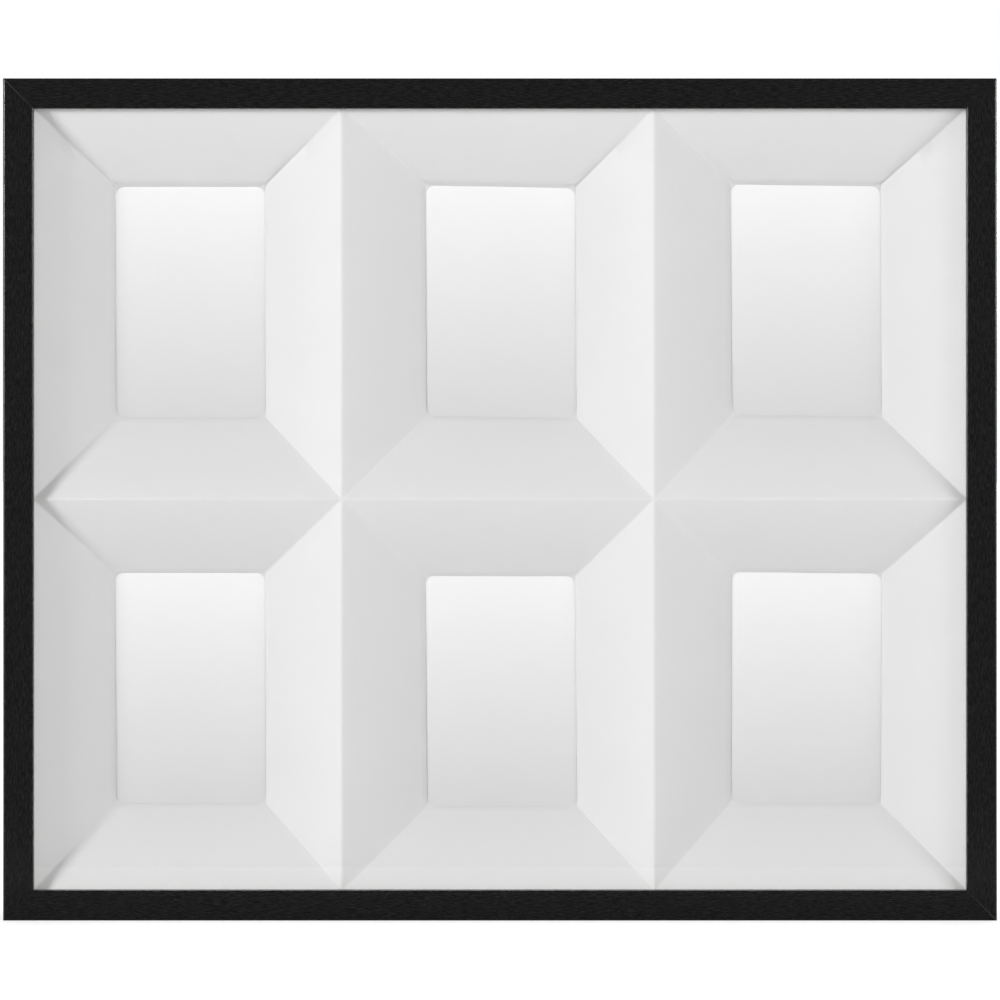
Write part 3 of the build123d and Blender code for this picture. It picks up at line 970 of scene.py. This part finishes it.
class COLLAGE_OT_bumpers(Operator):
    """Moulds the soft bumpers that meet the wall"""

    bl_idname = "collage_frame.bumpers"
    bl_label = "Wall bumpers"

    def execute(self, context):
        rubber = moulded_rubber(context.scene.collage_frame.fitting)
        rounding = 0.3  # share of a bumper's height that its shoulder takes
        for name in BUMPERS:
            low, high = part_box(name)
            radius, edge = (high.x - low.x) / 2, rounding * (high.y - low.y)
            shoulder = [
                (radius - edge * (1 - cos(a)), high.y - edge * (1 - sin(a))) for a in quarter_turn()
            ]
            bm = bmesh.new()
            middle = Vector(((low.x + high.x) / 2, 0, (low.z + high.z) / 2))
            profile = [(0, low.y), (radius, low.y), *shoulder, (0, high.y)]
            turned(bm, middle, profile, steps=56)
            bumper = link_mesh(bm, "moulded_" + name)
            dress(rubber, bumper)
            stand_for(bumper, "bumper_rubber", name)
        return {"FINISHED"}


FLOOR_HALF = 8.0  # metres
# Softboxes: name, turn to the right and height above level as seen from the frame, width and height
SOFTBOXES = (
    ("key", radians(-55), radians(9), 1.8, 2.0),
    ("right", radians(52), radians(9), 4.2, 1.8),
    ("back", radians(150), radians(8), 4.2, 1.8),
)


def add_lamp(name, size, watts):
    """A softbox that the camera doesn't see."""
    light = bpy.data.lights.new(name, "AREA")
    light.shape = "RECTANGLE"
    light.energy = watts
    light.size, light.size_y = size
    lamp = bpy.data.objects.new(name, light)
    lamp.rotation_mode = "QUATERNION"
    lamp.visible_camera = False
    bpy.context.scene.collection.objects.link(lamp)
    return lamp


def studio_room(settings):
    """White all round to the camera. As light, white behind the frame and dim in front of it."""
    dim_to, white_from = 0.2, 0.7  # shares of a direction that point back to the wall
    world = bpy.data.worlds.new("Studio room")
    world.use_nodes = True
    tree = world.node_tree
    tree.nodes.clear()
    place = add_node(tree, "TexCoord")
    way = add_node(tree, "SeparateXYZ", {"Vector": place.outputs["Generated"]})
    behind = add_node(
        tree,
        "MapRange",
        {"Value": way.outputs["Y"], "From Min": dim_to, "From Max": white_from, "To Min": settings.room},
    )
    rays = add_node(tree, "LightPath")
    seen = add_node(
        tree,
        "Math",
        {0: rays.outputs["Is Camera Ray"], 1: rays.outputs["Is Transmission Ray"]},
        operation="MAXIMUM",
    )
    bright = add_node(tree, "Math", {0: behind, 1: seen}, operation="MAXIMUM")
    walls = add_node(tree, "Background", {"Color": WHITE, "Strength": bright})
    add_node(tree, "OutputWorld", {"Surface": walls})
    return world


class COLLAGE_OT_stage(Operator):
    """Sets up the floor, lamps, room and camera"""

    bl_idname = "collage_frame.stage"
    bl_label = "Stage"

    def execute(self, context):
        scene = context.scene
        settings = scene.collage_frame.stage
        bm = bmesh.new()
        bmesh.ops.create_grid(bm, x_segments=1, y_segments=1, size=FLOOR_HALF)
        floor = link_mesh(bm, "floor")
        floor.location.z = OUTER_LOW.z
        dress(painted_floor(settings), floor)
        for name, turn, rise, width, height in SOFTBOXES:
            lamp = add_lamp(name + "_softbox", (width, height), getattr(settings, name))
            way = Vector((sin(turn) * cos(rise), -cos(turn) * cos(rise), sin(rise)))
            lamp.location = Vector((0, 0, MID_HEIGHT)) + settings.lamp_distance * way
            lamp.rotation_quaternion = (-way).to_track_quat("-Z", "Y")
        scene.world = studio_room(settings)
        view = bpy.data.cameras.new("camera")
        view.lens = view.sensor_width * settings.distance / settings.view_width
        view.shift_y = -settings.rise / settings.view_width
        camera = bpy.data.objects.new("camera", view)
        camera.location = (0, FRONT - settings.distance, MID_HEIGHT - settings.drop + settings.rise)
        camera.rotation_euler = (pi / 2, 0, 0)
        scene.collection.objects.link(camera)
        scene.camera = camera
        scene.view_settings.view_transform = "Standard"
        return {"FINISHED"}


OPERATORS = (
    COLLAGE_OT_moulding,
    COLLAGE_OT_glazing,
    COLLAGE_OT_mat,
    COLLAGE_OT_inserts,
    COLLAGE_OT_backing,
    COLLAGE_OT_steel,
    COLLAGE_OT_screws,
    COLLAGE_OT_nails,
    COLLAGE_OT_bumpers,
    COLLAGE_OT_stage,
)


class COLLAGE_PT_frame(Panel):
    """Lists the frame's pieces and their settings"""

    bl_idname = "COLLAGE_PT_frame"
    bl_label = "Collage frame"
    bl_space_type = "VIEW_3D"
    bl_region_type = "UI"
    bl_category = "Collage frame"

    def draw(self, context):
        for operator in OPERATORS:
            self.layout.operator(operator.bl_idname)
        groups = context.scene.collage_frame
        for name in CollageFrameSettings.__annotations__:
            box = self.layout.box()
            box.label(text=name.capitalize())
            group = getattr(groups, name)
            for field in type(group).__annotations__:
                box.prop(group, field)


CLASSES = (
    MouldingSettings,
    MatSettings,
    InsertSettings,
    BackSettings,
    FittingSettings,
    StageSettings,
    CollageFrameSettings,
    *OPERATORS,
    COLLAGE_PT_frame,
)


def register():
    """Adds the settings, operators and panel."""
    for made in CLASSES:
        bpy.utils.register_class(made)
    bpy.types.Scene.collage_frame = PointerProperty(type=CollageFrameSettings)


def unregister():
    """Takes them out again."""
    del bpy.types.Scene.collage_frame
    for made in reversed(CLASSES):
        bpy.utils.unregister_class(made)


def main():
    """Makes every piece and the stage."""
    register()
    for operator in OPERATORS:
        getattr(bpy.ops.collage_frame, operator.bl_idname.split(".")[1])()


if __name__ == "__main__":
    main()
